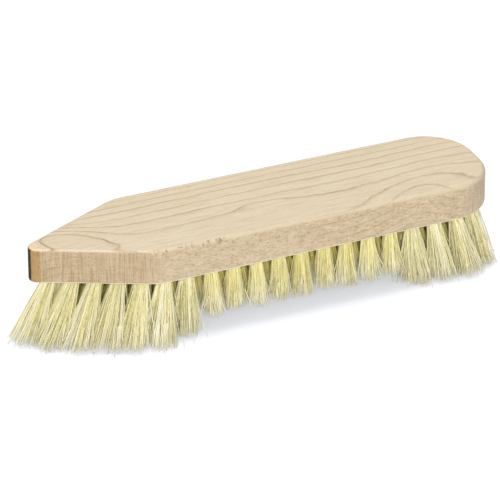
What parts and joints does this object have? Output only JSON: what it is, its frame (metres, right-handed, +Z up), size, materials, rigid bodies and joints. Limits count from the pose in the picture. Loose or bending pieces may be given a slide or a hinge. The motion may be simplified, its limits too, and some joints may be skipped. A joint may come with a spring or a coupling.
{
  "type": "scrub brush",
  "caption": "Flat wooden scrub brush with a blunt point and a round end, short plant-fibre tufts in the middle and long tufts leaning outwards at both ends.",
  "frame": {"origin": "middle of the brush's footprint, on the surface that its two beards stand on", "axes": "+X along the block from its pointed end to its round end, +Y across it, +Z up to its flat top"},
  "size_m": [0.2404, 0.0688, 0.049],
  "materials": {
    "beech": "bare, sanded",
    "fibre": "plant fibre, matt",
    "wire": "drawn"
  },
  "bodies": {
    "root": {"block": "beech", "wire_anchors": "wire", "edge_tuft_01": "fibre", "edge_tuft_02": "fibre", "edge_tuft_03": "fibre", "edge_tuft_04": "fibre", "edge_tuft_05": "fibre", "edge_tuft_06": "fibre", "edge_tuft_07": "fibre", "edge_tuft_08": "fibre", "edge_tuft_09": "fibre", "edge_tuft_10": "fibre", "edge_tuft_11": "fibre", "edge_tuft_12": "fibre", "edge_tuft_13": "fibre", "edge_tuft_14": "fibre", "edge_tuft_15": "fibre", "edge_tuft_16": "fibre", "edge_tuft_17": "fibre", "edge_tuft_18": "fibre", "edge_tuft_19": "fibre", "edge_tuft_20": "fibre", "edge_tuft_21": "fibre", "edge_tuft_22": "fibre", "edge_tuft_23": "fibre", "edge_tuft_24": "fibre", "edge_tuft_25": "fibre", "edge_tuft_26": "fibre", "edge_tuft_27": "fibre", "edge_tuft_28": "fibre", "edge_tuft_29": "fibre", "edge_tuft_30": "fibre", "edge_tuft_31": "fibre", "edge_tuft_32": "fibre", "edge_tuft_33": "fibre", "edge_tuft_34": "fibre", "edge_tuft_35": "fibre", "edge_tuft_36": "fibre", "edge_tuft_37": "fibre", "edge_tuft_38": "fibre", "edge_tuft_39": "fibre", "edge_tuft_40": "fibre", "edge_tuft_41": "fibre", "inner_tufts_01": "fibre", "inner_tufts_02": "fibre", "inner_tufts_03": "fibre", "inner_tufts_04": "fibre", "inner_tufts_05": "fibre", "inner_tufts_06": "fibre", "inner_tufts_07": "fibre", "inner_tufts_08": "fibre", "inner_tufts_09": "fibre", "inner_tufts_10": "fibre", "inner_tufts_11": "fibre", "inner_tufts_12": "fibre", "inner_tufts_13": "fibre", "inner_tufts_14": "fibre", "inner_tufts_15": "fibre", "inner_tufts_16": "fibre"}
  },
  "joints": []
}
